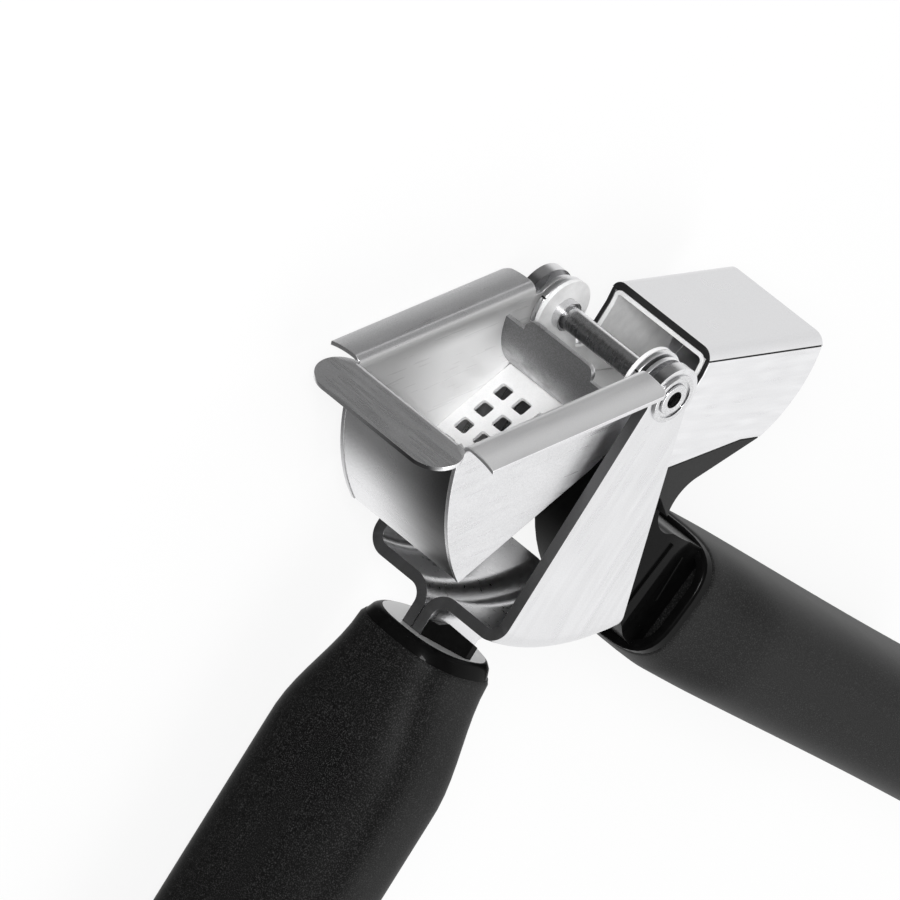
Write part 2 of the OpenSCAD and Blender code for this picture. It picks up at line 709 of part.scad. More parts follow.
module upper_handle_core() {
    recess_depth = 3.5;
    taper_from = upper_start - 9;
    neck_in = upper_axis - 10.7;
    neck_out = upper_axis + 10.1;
    color("#141414") difference() {
        union() {
            // neck
            intersection() {
                in_plunger() translate([0, 0, -neck_half_w]) linear_extrude(2 * neck_half_w) difference() {
                    polygon(concat([[plug_front, plug_top], [plug_front, skirt_low], throat_c,
                                    at_handle(36.7, neck_in), at_handle(upper_grip_start - 0.2, neck_in),
                                    at_handle(upper_grip_start - 0.2, neck_out)],
                                   bezier([at_handle(upper_start + 1, neck_out), [tang_x + 1.1, -50],
                                           [tang_x - 7.9, -30], [tang_x - 4.4, plug_top]], 16)));
                    throat(0);
                    intersection() {
                        throat(cover_wall + grip_fit);
                        cover_zone(grip_fit);
                    }
                }
                in_upper_handle() translate([0, 10, 0]) rotate([90, 0, 0]) linear_extrude(80)
                    polygon([[-10, -neck_half_w - 3], [taper_from - 10, -neck_half_w - 3],
                             [taper_from + 5, 1.5 - neck_half_w], [upper_start + 5, 1.5 - neck_half_w],
                             [upper_start + 5, neck_half_w - 1.5], [taper_from + 5, neck_half_w - 1.5],
                             [taper_from - 10, neck_half_w + 3], [-10, neck_half_w + 3]]);
            }
            // collar, recessed round the neck
            in_upper_handle() difference() {
                union() {
                    // distance from the collar's start, and how far it is cut back
                    loft([for (lip = [[0, 0.9], [0.15, 0.55], [0.5, grip_step],
                                      [upper_grip_start - upper_start, grip_step]])
                        section(upper_start + lip[0], upper_front_w - lip[1], upper_half_d - lip[1],
                                -upper_axis, collar_squareness)]);
                    translate([upper_grip_start - 0.5, -upper_axis, 0]) rotate([90, 0, 90])
                        linear_extrude(bar_end - upper_grip_start + 0.5) rotate(90)
                            rounded_box(upper_bar_w, upper_bar_d, 6);
                }
                translate([upper_start - 1, -upper_axis, 0]) rotate([90, 0, 90])
                    linear_extrude(recess_depth + 1) rotate(90)
                        rounded_box(upper_front_w - 2.3, upper_half_d - 2.4, 5.5);
            }
        }
        // slot for the tang, open at the bar's end
        in_plunger() translate([0, 0, -upper_tang_t / 2 - grip_fit])
            linear_extrude(upper_tang_t + 2 * grip_fit)
                band(concat(tang_path, [at_handle(bar_end + 9, upper_axis)]), upper_tang_w + 2 * grip_fit);
    }
}

module upper_handle_grip() {
    color("#202020") in_upper_handle() difference() {
        loft([for (u = grip_steps(upper_grip_start + fit_gap))
            section(u, upper_w(u), upper_d(u) + upper_swell(u) * tip(u), -upper_axis - upper_swell(u),
                    upper_grip_squareness)]);
        translate([upper_grip_start - 1, -upper_axis, 0]) rotate([90, 0, 90])
            linear_extrude(bar_end - upper_grip_start + 1 + grip_fit) rotate(90)
                rounded_box(upper_bar_w + grip_fit, upper_bar_d + grip_fit, 6 + grip_fit);
    }
}

// ---- Hinge -----------------------------------------------------------------------

// thickness of the washers' floor under the lips
washer_floor = 0.15;

module arm_bush() {
    color("white") translate([0, 0, liner_in - bush_flange_l])
        tube(bush_r, rivet_d / 2 + running_fit, plunger_half_w - liner_in + bush_flange_l);
}
module arm_bush_near() { arm_bush(); }
module arm_bush_far() { far_side() arm_bush(); }

module pivot_rivet() {
    seat = frame_out + washer_floor + snug;
    bead = rivet_lip_h / 2;
    color("whitesmoke") rotate_extrude() {
        translate([rivet_bore_d / 2, -seat]) square([(rivet_d - rivet_bore_d) / 2, 2 * seat]);
        for (s = [0, 1]) mirror([0, s]) translate([0, seat]) {
            translate([rivet_bore_d / 2, 0]) square([rivet_lip_r - bead - rivet_bore_d / 2, rivet_lip_h]);
            translate([rivet_lip_r - bead, bead]) circle(bead);
        }
    }
}

washer_bevel = 0.25;
module washer() {
    color("gainsboro") translate([0, 0, frame_out]) rotate_extrude() difference() {
        polygon([[rivet_d / 2 + snug, 0], [washer_r, 0], [washer_r, washer_t - washer_bevel],
                 [washer_r - washer_bevel, washer_t], [rivet_d / 2 + snug, washer_t]]);
        translate([0, washer_floor]) square([rivet_lip_r + 0.7, washer_t]);
    }
}
module washer_near() { washer(); }
module washer_far() { far_side() washer(); }

cradle_near_half();
cradle_far_half();
lower_handle_core();
lower_handle_grip();
hopper_near_side();
hopper_far_side();
hopper_front_wall();
hopper_back_wall();
sieve_plate();
plunger_face();
plunger_shell();
plunger_liner();
plunger_cover();
upper_handle_tang();
upper_handle_core();
upper_handle_grip();
arm_bush_near();
arm_bush_far();
pivot_rivet();
washer_near();
washer_far();
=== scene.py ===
"""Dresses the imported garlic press: moulded handles, sheet steel finishes and a plain studio."""

import math

import bmesh
import bpy
from bpy.props import FloatProperty, FloatVectorProperty, PointerProperty
from mathutils import Matrix, Vector


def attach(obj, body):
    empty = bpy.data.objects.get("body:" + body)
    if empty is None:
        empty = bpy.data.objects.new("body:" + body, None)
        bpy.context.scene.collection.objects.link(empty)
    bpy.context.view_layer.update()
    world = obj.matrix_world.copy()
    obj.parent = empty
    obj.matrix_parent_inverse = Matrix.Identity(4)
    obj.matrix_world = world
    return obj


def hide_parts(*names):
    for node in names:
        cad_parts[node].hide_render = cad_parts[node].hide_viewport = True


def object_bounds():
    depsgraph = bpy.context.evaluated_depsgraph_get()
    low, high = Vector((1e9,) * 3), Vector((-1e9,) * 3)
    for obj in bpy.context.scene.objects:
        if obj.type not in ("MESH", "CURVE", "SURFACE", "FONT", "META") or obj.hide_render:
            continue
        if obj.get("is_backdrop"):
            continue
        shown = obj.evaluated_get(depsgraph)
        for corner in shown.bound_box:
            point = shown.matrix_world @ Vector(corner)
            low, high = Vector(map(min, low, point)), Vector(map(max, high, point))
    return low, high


bl_info = {
    "name": "Garlic press",
    "version": (1, 0, 0),
    "blender": (4, 5, 0),
    "location": "View3D > Sidebar > Garlic press",
    "description": "Builds the handles, the steel finishes and the studio of a garlic press held open",
    "category": "Object",
}

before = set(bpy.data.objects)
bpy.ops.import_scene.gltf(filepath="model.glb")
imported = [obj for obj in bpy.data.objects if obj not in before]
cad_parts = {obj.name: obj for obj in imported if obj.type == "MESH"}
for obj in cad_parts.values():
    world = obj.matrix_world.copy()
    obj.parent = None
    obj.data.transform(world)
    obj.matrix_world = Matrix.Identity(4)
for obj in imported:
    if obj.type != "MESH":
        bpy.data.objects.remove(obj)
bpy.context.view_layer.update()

FRAME_BODY = "frame_and_lower_handle"
HOPPER_BODY = "hopper"
PLUNGER_BODY = "plunger_and_upper_handle"
MM = 0.001
NO_AMOUNT = 1e-6
RELIEF_STRENGTH = 0.4

# Directions square to the hinge, in degrees from +X.
FRAME_OPENING = -90.0
FRAME_OUTLET = 116.4
HOPPER_MOUTH = -150.4
HOPPER_RIM = HOPPER_MOUTH + 90.0
HOPPER_FRONT = -46.0
HOPPER_BACK = -40.0
PLUNGER_RUN = 105.0
PLUNGER_UP = PLUNGER_RUN + 90.0
PLUNGER_MOUTH = PLUNGER_RUN - 180.0
RIVET_LIT_SIDE = 166.0

# Where the hopper's painted shade, shadow and highlight, and its lighter patches, begin and end.
# Heights are from the hinge line towards the mouth, reaches run from the hinge along the rim, and Z
# runs along the hinge.
FLANGE_BAND = (0.0, 4.5 * MM)
FAR_CORNER_REACH = (22 * MM, 40 * MM)
HINGE_CORNER_REACH = (8 * MM, 19 * MM)
HINGE_CORNER_HEIGHT = (-7 * MM, 0.0)
FRONT_SHADE_Z = (-9 * MM, 12.5 * MM)
LIGHT_PATCH_HEIGHT = (-9 * MM, 1 * MM)
LIGHT_PATCH_Z = (-6 * MM, 4 * MM)
NEAR_FLANGE_Z = 5 * MM

# The hinge's middle, and the radius round it that the painted shade on the mouth's rim stays clear of.
ROD_MIDDLE = 8.6 * MM
HINGE_CLEAR = 7.5 * MM

# Heights on the plunger, from the hinge along PLUNGER_UP.
SEAM_HEIGHT = 2.75 * MM
SEAM_FADE = (0.12 * MM, 0.22 * MM)
PLUG_TOP_HEIGHT = -13.3 * MM

# The lower collar's end is looked for outside this half width of the shank.
SHANK_CLEAR = 6 * MM

# How close two planes, two points and two directions are when they count as the same.
SAME_PLANE = 0.2 * MM
SAME_POINT = 0.005 * MM
SAME_DIRECTION = 0.98

# The grips, in millimetres: their full section, the drawn-in front edge and the rounded tip.
GRIP_HALF_W = 16.4
GRIP_HALF_D = 11.9
LOWER_SQUARENESS = 2.7
UPPER_SQUARENESS = 3.2
LIP_MIDDLE = 0.25
LIP_RISE = 0.7
LIP_DEPTH = 0.35
TIP_LENGTH = 13.0
TIP_END_SHARE = 0.02
GRIP_STEPS = 40
TIP_STEPS = 14
GRIP_SIDES = 72

# The neck's ribs, in millimetres before the upper handle's turn: start, end and the neck's side.
RIBS = (((41.2, -22.3), (40.6, -36.0), 10.0), ((48.9, -23.6), (50.4, -32.4), 8.5))
RIB_W = 0.5
RIB_H = 0.4
RIB_EDGE = 0.15

# The studio, in metres. FLOOR_GLOW is the share of the floor's plain white that the camera sees.
FLOOR_REACH = 6.0
FLOOR_GAP = 0.2 * MM
FLOOR_GLOW = 0.88
WHITE_SIDE = 83.0
LAMP_AIM = Vector((0.03, 0.0, 0.0))
CAMERA_TARGET = Vector((0.02786, -0.01149, -0.00786))


# ---- Shader maths ------------------------------------------------------------------


class Flow:
    """A value inside a material, which takes part in ordinary sums."""

    def __init__(self, finish, socket):
        self.finish = finish
        self.socket = socket

    def _sum(self, operation, *values):
        inputs = dict(enumerate(values))
        return self.finish.node("ShaderNodeMath", {"operation": operation}, inputs).out()

    def __add__(self, other):
        return self._sum("ADD", self, other)

    __radd__ = __add__

    def __sub__(self, other):
        return self._sum("SUBTRACT", self, other)

    def __rsub__(self, other):
        return self._sum("SUBTRACT", other, self)

    def __mul__(self, other):
        return self._sum("MULTIPLY", self, other)

    __rmul__ = __mul__

    def __gt__(self, other):
        return self._sum("GREATER_THAN", self, other)

    def __lt__(self, other):
        return self._sum("LESS_THAN", self, other)

    def size(self):
        return self._sum("ABSOLUTE", self)

    def ramp(self, low, high):
        """0 below low, 1 above high, and a smooth rise between them."""
        node = self.finish.node(
            "ShaderNodeMapRange",
            {"interpolation_type": "SMOOTHSTEP"},
            {"Value": self, "From Min": low, "From Max": high},
        )
        return node.out("Result")


class Part:
    """One node of a material."""

    def __init__(self, finish, node):
        self.finish = finish
        self.node = node

    def out(self, name=0):
        return Flow(self.finish, self.node.outputs[name])


class Nodes:
    """A node tree, and the ways to add to it."""

    def __init__(self, tree):
        self.tree = tree

    def node(self, kind, settings=None, inputs=None):
        made = self.tree.nodes.new(kind)
        for name, value in (settings or {}).items():
            setattr(made, name, value)
        for name, value in (inputs or {}).items():
            if isinstance(value, Flow):
                self.tree.links.new(value.socket, made.inputs[name])
            else:
                made.inputs[name].default_value = value
        return Part(self, made)

    def split(self, vector):
        """The three numbers of a vector."""
        parts = self.node("ShaderNodeSeparateXYZ", None, {"Vector": vector})
        return parts.out("X"), parts.out("Y"), parts.out("Z")

    def blend(self, mask, low, high):
        """A colour between low and high."""
        node = self.tree.nodes.new("ShaderNodeMix")
        node.data_type = "RGBA"
        self.tree.links.new(mask.socket, node.inputs["Factor"])
        for socket, value in ((node.inputs[6], low), (node.inputs[7], high)):
            if isinstance(value, Flow):
                self.tree.links.new(value.socket, socket)
            else:
                socket.default_value = (*value, 1.0)
        return Flow(self, node.outputs[2])


class Finish(Nodes):
    """One material: its main shader, and the nodes that feed it."""

    def __init__(self, name, **shader_values):
        self.material = bpy.data.materials.new(name)
        self.material.use_nodes = True
        super().__init__(self.material.node_tree)
        self.shader = self.tree.nodes["Principled BSDF"]
        for socket, value in shader_values.items():
            self.shader.inputs[socket.replace("_", " ")].default_value = value

    def feed(self, socket, flow):
        self.tree.links.new(flow.socket, self.shader.inputs[socket])

    def place(self):
        """Object coordinates."""
        return self.node("ShaderNodeTexCoord").out("Object")

    def spot(self):
        """Object coordinates, as three flows."""
        return self.split(self.place())

    def facing(self):
        """The surface's direction in object coordinates, as three flows."""
        return self.split(self.node("ShaderNodeTexCoord").out("Normal"))

    def stretched(self, scale, turn=0.0):
        """Object coordinates turned about the hinge and stretched."""
        vector = self.place()
        for change in ({"Rotation": (0, 0, turn)}, {"Scale": scale}):
            inputs = {"Vector": vector, **change}
            vector = self.node("ShaderNodeMapping", {"vector_type": "POINT"}, inputs).out()
        return vector

    def noise(self, vector, scale, detail=3.0, roughness=0.55):
        return self.node(
            "ShaderNodeTexNoise",
            {"noise_dimensions": "3D"},
            {"Vector": vector, "Scale": scale, "Detail": detail, "Roughness": roughness},
        ).out("Fac")

    def bump(self, height, strength, distance):
        """Feeds the surface's relief."""
        inputs = {"Height": height, "Strength": strength, "Distance": distance}
        self.feed("Normal", self.node("ShaderNodeBump", None, inputs).out())


def along(direction, flows):
    """How far three flows point along a direction."""
    steps = [flow * amount for flow, amount in zip(flows, direction) if abs(amount) > NO_AMOUNT]
    return sum(steps, start=0.0)


def heading(degrees):
    """A direction square to the hinge, turned from +X."""
    turn = math.radians(degrees)
    return math.cos(turn), math.sin(turn), 0


def tint(colour, factor):
    """A colour made lighter or darker, and never above full white."""
    return tuple(min(1.0, part * factor) for part in colour)


def grey(level):
    return (level,) * 3


def steel(name, colour, roughness, streak, turn=0.0, shades=(), metallic=1.0, streakiness=0.1,
          matt=None, painted_shadow=None, speckle=0.1):
    """Sheet steel with fine streaks.

    streak is the grain's scale along each axis, after a turn about the hinge. Each shade is a mask
    maker, the colour's share there, and extra roughness; most shades paint shade, and one a highlight,
    into the colour. matt is a mask maker for the faces that are blasted dull, so that they scatter the
    light, and the argument after matt is a mask maker for painted shadow and the share of that dull
    white which is left there.
    """
    finish = Finish(name, Metallic=metallic, Roughness=roughness)
    grain = finish.noise(finish.stretched(streak, turn), 1.0, 1.5)
    cloud = finish.noise(finish.place(), 90.0, 2.0)
    fine = finish.noise(finish.place(), 4200.0, 1.0)
    shade = (grain - 0.5) * streakiness + (cloud - 0.5) * 0.06 + (fine - 0.5) * speckle + 0.5
    tone = finish.blend(shade.ramp(0.35, 0.65), tint(colour, 0.84), tint(colour, 1.1))
    rough = (grain - 0.5) * 0.16 + (cloud - 0.5) * 0.08 + roughness
    for make_mask, share, extra in shades:
        mask = make_mask(finish)
        low, high = tint(colour, share * 0.8), tint(colour, share * 1.15)
        tone = finish.blend(mask, tone, finish.blend(shade.ramp(0.35, 0.65), low, high))
        rough = rough + mask * extra
    if matt:
        mask = matt(finish)
        tone = finish.blend(mask, tone, grey(0.98))
        finish.feed("Metallic", 1.0 - mask * 0.98)
    # Painted shadow over the dull white.
    if painted_shadow:
        make_mask, share = painted_shadow
        tone = finish.blend(make_mask(finish), tone, grey(0.95 * share))
    finish.feed("Base Color", tone)
    finish.feed("Roughness", rough)
    return finish.material


def moulded(name, colour, roughness, grain_scale, relief, coat=0.0, gloss=0.12, specks=0.0):
    """Black moulded plastic or rubber with a fine grain, and grey specks of a given tone."""
    finish = Finish(name, Roughness=roughness, Coat_Weight=coat, Coat_Roughness=0.06,
                    Specular_IOR_Level=gloss)
    grain = finish.noise(finish.place(), grain_scale, 2.0)
    cloud = finish.noise(finish.place(), 60.0, 2.0)
    mix = ((grain - 0.5) * 0.6 + (cloud - 0.5) * 0.4 + 0.5).ramp(0.25, 0.75)
    tone = finish.blend(mix, tint(colour, 0.7), tint(colour, 1.3))
    if specks:
        tone = finish.blend(grain.ramp(0.48, 0.72), tone, grey(specks))
    finish.feed("Base Color", tone)
    finish.feed("Roughness", (grain - 0.5) * 0.12 + (cloud - 0.5) * 0.06 + roughness)
    finish.bump(grain, RELIEF_STRENGTH, relief)
    return finish.material


# ---- Mesh helpers ------------------------------------------------------------------


def turn_about_hinge(degrees):
    return Matrix.Rotation(math.radians(degrees), 4, "Z")


def spow(value, power):
    return math.copysign(abs(value) ** power, value)


class Station:
    """One cross-section of a handle: a rounded oblong at a distance along X, in millimetres."""

    def __init__(self, u, half_w, half_d, centre, squareness):
        self.u, self.half_w, self.half_d = u, half_w, half_d
        self.centre, self.power = centre, 2.0 / squareness

    def angle(self, co):
        side = spow(co.z / self.half_w, 1 / self.power)
        depth = spow((co.y - self.centre) / self.half_d, 1 / self.power)
        return math.atan2(depth, side)

    def point(self, angle):
        return Vector((
            self.u,
            self.centre + self.half_d * spow(math.sin(angle), self.power),
            self.half_w * spow(math.cos(angle), self.power),
        ))


def skin(stations, segments):
    """A closed skin drawn over cross-sections, from an extruded ring."""
    bm = bmesh.new()
    verts = bmesh.ops.create_circle(bm, cap_ends=False, segments=segments, radius=1.0)["verts"]
    for vert in verts:
        vert.co = stations[0].point(math.atan2(vert.co.y, vert.co.x) + math.pi / segments)
    first = edges = list(bm.edges)
    last = stations[0]
    for station in stations[1:]:
        grown = bmesh.ops.extrude_edge_only(bm, edges=edges)["geom"]
        ring = [g for g in grown if isinstance(g, bmesh.types.BMVert)]
        inside = set(ring)
        edges = [g for g in grown if isinstance(g, bmesh.types.BMEdge) and set(g.verts) <= inside]
        for vert in ring:
            vert.co = station.point(last.angle(vert.co))
        last = station
    for rim in (first, edges):
        bmesh.ops.contextual_create(bm, geom=rim)
    return bm


def scene_object(name, data):
    obj = bpy.data.objects.new(name, data)
    bpy.context.scene.collection.objects.link(obj)
    return obj


def mesh_object(name, bm):
    mesh = bpy.data.meshes.new(name)
    bm.to_mesh(mesh)
    bm.free()
    return scene_object(name, mesh)


def bevel(bm, edges, radius, segments):
    bmesh.ops.bevel(bm, geom=edges, offset=radius, offset_type="OFFSET", affect="EDGES",
                    segments=segments, profile=0.5, material=-1, clamp_overlap=True)


def piece(name, bm, body, material, replaces=(), sharp=math.radians(35), scale=MM):
    """Turns a finished bmesh into an object that rides on a body. scale brings it to metres."""
    if scale != 1.0:
        bmesh.ops.scale(bm, vec=(scale, scale, scale), verts=bm.verts)
    bmesh.ops.recalc_face_normals(bm, faces=bm.faces)
    for face in bm.faces:
        face.smooth = True
    for edge in bm.edges:
        edge.smooth = not edge.is_manifold or edge.calc_face_angle() < sharp
    obj = mesh_object(name, bm)
    obj.data.materials.append(material)
    even = obj.modifiers.new("even normals", "WEIGHTED_NORMAL")
    even.keep_sharp = True
    even.weight = 100
    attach(obj, body)
    if replaces:
        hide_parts(*replaces)
    return obj


def finished(node, name, body, material, edge, sharp=28):
    """A piece cut like a CAD node, with every sharp edge rounded by a bevel of edge millimetres."""
    bm = bmesh.new()
    bm.from_mesh(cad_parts[node].data)
    bmesh.ops.remove_doubles(bm, verts=bm.verts, dist=SAME_POINT)
    bmesh.ops.dissolve_limit(bm, angle_limit=math.radians(0.5), verts=bm.verts, edges=bm.edges)
    corners = [e for e in bm.edges if e.is_manifold and e.calc_face_angle() > math.radians(sharp)]
    bevel(bm, corners, edge * MM, 3)
    bmesh.ops.triangulate(bm, faces=[f for f in bm.faces if len(f.verts) > 4])
    return piece(name, bm, body, material, [node], math.radians(50), 1.0)


def paint_end_face(obj, material, direction, height):
    """Gives a second material to the flat end that faces a direction, at a height along it."""
    obj.data.materials.append(material)
    for face in obj.data.polygons:
        level = abs(face.center.dot(direction) - height) < SAME_PLANE
        if face.normal.dot(direction) > SAME_DIRECTION and level:
            face.material_index = 1


def dress(node, material):
    """Gives a material to a CAD node, whose shape stays as it is."""
    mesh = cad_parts[node].data
    mesh.materials.clear()
    mesh.materials.append(material)


# ---- Settings ----------------------------------------------------------------------


class PressSizes(bpy.types.PropertyGroup):
    """Sizes of the moulded handles, in millimetres and degrees."""

    lower_start: FloatProperty(name="Lower grip start", default=59.9,
                               description="Distance from the hinge to the lower grip")
    upper_start: FloatProperty(name="Upper grip start", default=55.3,
                               description="Distance from the hinge to the upper grip")
    reach: FloatProperty(name="Reach", default=184.0,
                         description="Distance from the hinge to the handles' tips")
    upper_turn: FloatProperty(name="Upper handle direction", default=81.4,
                              description="Direction of the upper handle")
    lower_axis: FloatProperty(name="Lower offset", default=2.3,
                              description="Offset of the lower handle from the hinge")
    upper_axis: FloatProperty(name="Upper offset", default=31.4,
                              description="Offset of the upper handle from the hinge")


def colour_setting(name, description, default):
    return FloatVectorProperty(name=name, description=description, subtype="COLOR", default=default,
                               min=0, max=1)


class PressColours(bpy.types.PropertyGroup):
    """Colours of the press's finishes."""

    bright_steel: colour_setting("Bright steel", "Sheet of the hopper and the plunger",
                                 (0.72, 0.72, 0.73))
    strap_steel: colour_setting("Strap steel", "Heavy strap of the frame", (0.74, 0.74, 0.75))
    gloss_black: colour_setting("Gloss black", "Collars and neck", grey(0.003))
    matt_black: colour_setting("Matt black", "Plunger cover", grey(0.022))
    grip_black: colour_setting("Grip black", "Soft grips", grey(0.003))


class StudioSettings(bpy.types.PropertyGroup):
    """The studio: where the camera stands, and how strong the lamps are."""

    azimuth: FloatProperty(name="Azimuth", description="Direction that the camera looks in, from +X",
                           default=76.32, soft_min=-180, soft_max=180)
    elevation: FloatProperty(name="Elevation", description="Height of the camera, as an angle",
                             default=30.2)
    roll: FloatProperty(name="Roll", description="Turn of the camera about its line of sight",
                        default=128.83)
    distance: FloatProperty(name="Distance", description="Distance from the camera to its target",
                            default=2.0, unit="LENGTH")
    lens: FloatProperty(name="Lens", description="Focal length", default=480.0, unit="CAMERA")
    key_power: FloatProperty(name="Key lamp", description="Power of the main lamp", default=3.5,
                             unit="POWER")
    fill_power: FloatProperty(name="Fill lamp", description="Power of the second lamp", default=11.0,
                              unit="POWER")


# ---- Operators ---------------------------------------------------------------------


def cut_edges_shade(finish):
    """The sawn and stamped edges of the frame's strap, on its opening side and its outlet side, which
    take painted shade.
    """
    facing = finish.facing()
    opening = along(heading(FRAME_OPENING), facing).ramp(0.75, 0.9)
    return opening + along(heading(FRAME_OUTLET), facing).ramp(0.75, 0.9)


def front_shade(finish):
    """The shade that the hopper's front wall takes on towards its near edge."""
    outwards = along(heading(HOPPER_FRONT), finish.facing())
    return outwards.ramp(0.5, 0.8) * finish.spot()[2].ramp(*FRONT_SHADE_Z)


def tab_top_shade(finish):
    """The thumb tab's top, darkened with painted shade."""
    return along(heading(HOPPER_MOUTH), finish.facing()).ramp(0.6, 0.9)


def hopper_height(finish):
    """Height above the hinge line towards the hopper's mouth."""
    return along(heading(HOPPER_MOUTH), finish.spot())


def back_shade(finish):
    """The inner face of the hopper's back wall, darkened with painted shade, with lighter noisy patches
    low down.
    """
    inwards = along(heading(HOPPER_BACK), finish.facing())
    light_patch = finish.noise(finish.place(), 160.0, 3.0, 0.6).ramp(0.4, 0.6)
    low = 1.0 - hopper_height(finish).ramp(*LIGHT_PATCH_HEIGHT)
    low = low * (1.0 - finish.spot()[2].ramp(*LIGHT_PATCH_Z) * 0.4)
    return inwards.ramp(0.3, 0.6) * (1.0 - (light_patch * 0.6 + 0.4) * low * 0.95)


def inner_face(finish):
    """The far side wall's face inside the hopper."""
    return finish.facing()[2].ramp(0.6, 0.9)


def flange_shadow(finish):
    """Painted shadow in the band under the flange of the far side wall, and painted shade in the
    corners that it runs into.
    """
    height = hopper_height(finish)
    reach = along(heading(HOPPER_RIM), finish.spot())
    band = height.ramp(*FLANGE_BAND)
    by_hinge = (1.0 - reach.ramp(*HINGE_CORNER_REACH)) * height.ramp(*HINGE_CORNER_HEIGHT)
    corners = reach.ramp(*FAR_CORNER_REACH) * 0.85 + by_hinge * 0.8
    return inner_face(finish) * (band + (1.0 - band) * corners)


def flange_top_highlight(finish):
    """The near flange's top, lightened with a painted highlight."""
    near = finish.spot()[2] > NEAR_FLANGE_Z
    return along(heading(HOPPER_MOUTH), finish.facing()).ramp(0.0, 0.4) * near


def mouth_rim_shade(finish):
    """The end face of the plunger's shell round its mouth, darkened with painted shade."""
    x, y, _ = finish.spot()
    clear = (x * x + y * y) > HINGE_CLEAR ** 2
    return along(heading(PLUNGER_MOUTH), finish.facing()).ramp(0.6, 0.85) * clear


def rod_shade(finish):
    """The rivet's middle, darkened with painted shade away from its lit side, along a ragged line."""
    middle = finish.spot()[2].size() < ROD_MIDDLE
    ragged = finish.noise(finish.place(), 900.0, 3.0, 0.7)
    bright = (along(heading(RIVET_LIT_SIDE), finish.facing()) + (ragged - 0.5) * 0.6).ramp(0.0, 0.4)
    return (1.0 - bright) * middle


def seam_line(finish):
    """The dark joint between the pressing face and the plunger's sides."""
    height = along(heading(PLUNGER_UP), finish.spot())
    return 1.0 - (height - SEAM_HEIGHT).size().ramp(*SEAM_FADE)


class PRESS_OT_steel(bpy.types.Operator):
    """Finish the frame, the hopper, the plunger and the hinge in steel"""

    bl_idname = "press.steel"
    bl_label = "Steel finishes"

    def execute(self, context):
        colours = context.scene.press_colours
        bright = tuple(colours.bright_steel)
        strap = tuple(colours.strap_steel)
        rim_turn = math.radians(-HOPPER_RIM)
        plunger_turn = math.radians(-PLUNGER_RUN)
        # The frame strap's cut edges are rougher, and darkened with painted shade.
        strap_finish = steel("frame strap steel", strap, 0.3, (60, 900, 900),
                             shades=[(cut_edges_shade, 0.22, 0.15)], streakiness=0.07, speckle=0.15)
        # The hopper's near flange carries a painted highlight on its top.
        sheet = steel("hopper sheet steel", bright, 0.3, (120, 1400, 1400), rim_turn,
                      [(flange_top_highlight, 1.6, 0.08)], streakiness=0.06, speckle=0.25)
        # The front wall's steel is painted lighter than the other sheet as a painted reflection, with
        # painted shade towards its near edge and on the thumb tab's top.
        front = steel("hopper front steel with painted light", tint(bright, 1.2), 0.24, (1400, 120, 120), rim_turn,
                      [(front_shade, 0.1, 0.1), (tab_top_shade, 0.72, 0.05)], streakiness=0.05, speckle=0.25)
        # The back wall's inner face takes painted shade.
        back = steel("hopper back steel", bright, 0.3, (500, 500, 500),
                     shades=[(back_shade, 0.38, 0.2)], speckle=0.5)
        sieve = steel("sieve steel", grey(0.95), 0.5, (500, 500, 500), metallic=0.05)
        # The far side wall's inner face takes painted shadow under its flange and painted shade in its
        # corners.
        far_sheet = steel("hopper far sheet steel", bright, 0.3, (120, 1400, 1400), rim_turn,
                          matt=inner_face, painted_shadow=(flange_shadow, 0.4), streakiness=0.03, speckle=0.25)
        # The plunger's mouth rim takes painted shade.
        plunger = steel("plunger sheet steel", tint(bright, 1.08), 0.3, (120, 900, 120), plunger_turn,
                        [(seam_line, 0.05, 0.3), (mouth_rim_shade, 0.1, 0.2)])
        # The liner's near-white colour is painted light that lifts the shade inside the plunger's
        # mouth.
        liner = steel("plunger liner steel", grey(0.97), 0.5, (400, 400, 400), metallic=0.15,
                      streakiness=0.3)
        # The rivet's middle takes painted shade on the side away from the light.
        hinge = steel("hinge steel", bright, 0.18, (200, 200, 2000), shades=[(rod_shade, 0.35, 0.1)],
                      speckle=0.4)
        dress("upper_handle_tang", strap_finish)
        parts = [
            ("cradle_near_half", FRAME_BODY, "strap_steel", strap_finish, 0.3),
            ("cradle_far_half", FRAME_BODY, "strap_steel", strap_finish, 0.3),
            ("pivot_rivet", FRAME_BODY, "rivet_steel", hinge, 0.06),
            ("washer_near", FRAME_BODY, "rivet_steel", hinge, 0.06),
            ("washer_far", FRAME_BODY, "rivet_steel", hinge, 0.06),
            ("hopper_near_side", HOPPER_BODY, "hopper_steel", sheet, 0.18),
            ("hopper_far_side", HOPPER_BODY, "hopper_steel", far_sheet, 0.18),
            ("hopper_front_wall", HOPPER_BODY, "hopper_steel", front, 0.18),
            ("hopper_back_wall", HOPPER_BODY, "hopper_steel", back, 0.18),
            ("sieve_plate", HOPPER_BODY, "hopper_steel", sieve, 0.12),
            ("plunger_face", PLUNGER_BODY, "plunger_steel", plunger, 0.25),
            ("plunger_shell", PLUNGER_BODY, "plunger_steel", plunger, 0.2),
            ("plunger_liner", PLUNGER_BODY, "plunger_steel", liner, 0.15),
            ("arm_bush_near", PLUNGER_BODY, "plunger_steel", hinge, 0.1),
            ("arm_bush_far", PLUNGER_BODY, "plunger_steel", hinge, 0.1),
        ]
        for node, body, slot, material, edge in parts:
            finished(node, node + "_finished", body, material, edge)
        return {"FINISHED"}


def smooth(t):
    t = min(1.0, max(0.0, t))
    return t * t * (3 - 2 * t)


def ease(distance, length, first, last):
    """A size that goes smoothly from first to last over a length."""
    return first + (last - first) * smooth(distance / length)


